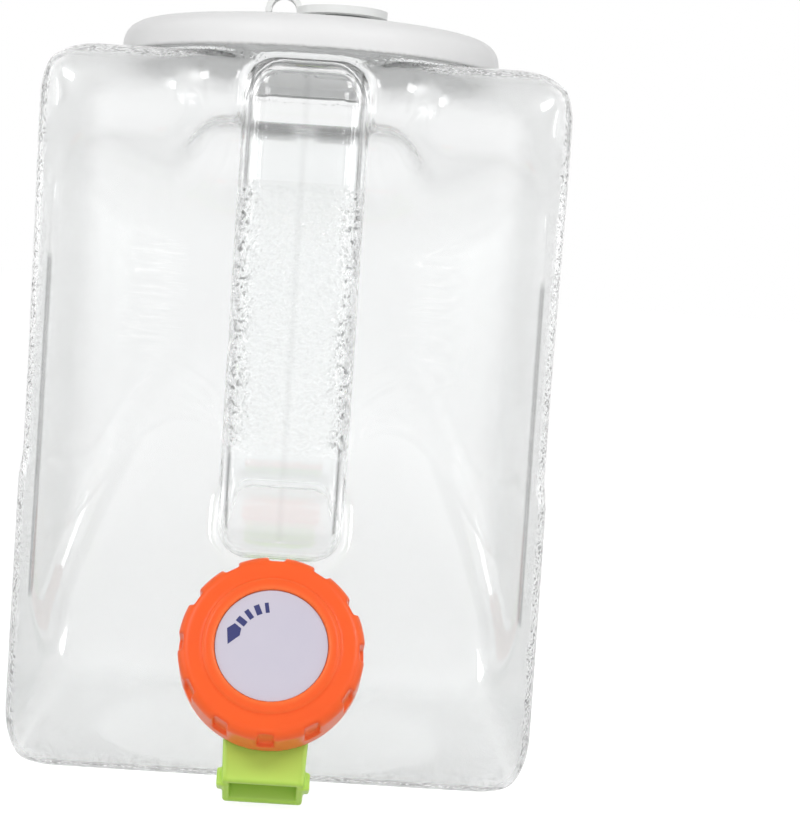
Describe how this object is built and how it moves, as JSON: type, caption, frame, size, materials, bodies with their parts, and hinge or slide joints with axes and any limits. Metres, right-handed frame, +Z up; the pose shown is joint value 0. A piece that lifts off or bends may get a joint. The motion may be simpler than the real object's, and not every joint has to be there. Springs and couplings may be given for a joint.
{
  "type": "drinking water jug with tap",
  "caption": "Clear rigid water jug with a hollow front handle over a finger recess, push-on lid with tethered vent cap, and a sloped tap with a turning knob and square spout.",
  "frame": {"origin": "centre of the tank's base, which stands on z = 0", "axes": "+Z up, front with handle and tap facing -Y, +X to the right as seen from the front"},
  "size_m": [0.158, 0.1678, 0.2388],
  "materials": {
    "clear_plastic": "clear, pebbled side walls",
    "lid_plastic": "satin, milky",
    "clear_silicone": "matt",
    "white_silicone": "matt",
    "green_plastic": "satin",
    "dark_rubber": "matt",
    "white_plastic": "satin",
    "steel": "bright",
    "orange_plastic": "satin",
    "label_plastic": "satin, printed arrow"
  },
  "bodies": {
    "jug": {"tank": "clear_plastic", "base": "clear_plastic", "handle": "clear_plastic", "neck": "clear_plastic", "tap_body": "green_plastic", "tap_gasket_outer": "clear_silicone", "tap_gasket_inner": "clear_silicone", "tap_nut": "green_plastic", "bonnet": "green_plastic", "bonnet_ring": "dark_rubber", "stem_ring": "dark_rubber"},
    "valve": {"stem": "white_plastic", "valve_disc": "dark_rubber", "knob_screw": "steel"},
    "knob": {"knob": "orange_plastic", "knob_label": "label_plastic"},
    "lid": {"lid": "lid_plastic", "lid_gasket": "clear_silicone", "vent_anchor": "white_silicone"},
    "vent_cap": {"vent_cap": "white_silicone"}
  },
  "joints": [
    {"name": "valve_lift", "type": "slide", "parent": "jug", "child": "valve", "axis": [0, -0.8988, 0.4384], "range_m": [0, 0.0035]},
    {"name": "knob_turn", "type": "hinge", "parent": "valve", "child": "knob", "pos_m": [0, -0.05799, 0.03138], "axis": [0, -0.8988, 0.4384], "range_deg": [0, 180]},
    {"name": "lid_lift", "type": "slide", "parent": "jug", "child": "lid", "axis": [0, 0, 1], "range_m": [0, 0.06]},
    {"name": "vent_flip", "type": "hinge", "parent": "lid", "child": "vent_cap", "pos_m": [-0.0144, 0, 0.23305], "axis": [0, -1, 0], "range_deg": [0, 105]}
  ],
  "couplings": [
    {"joint": "valve_lift", "follows": "knob_turn", "m_per_rad": 0.0011141}
  ]
}
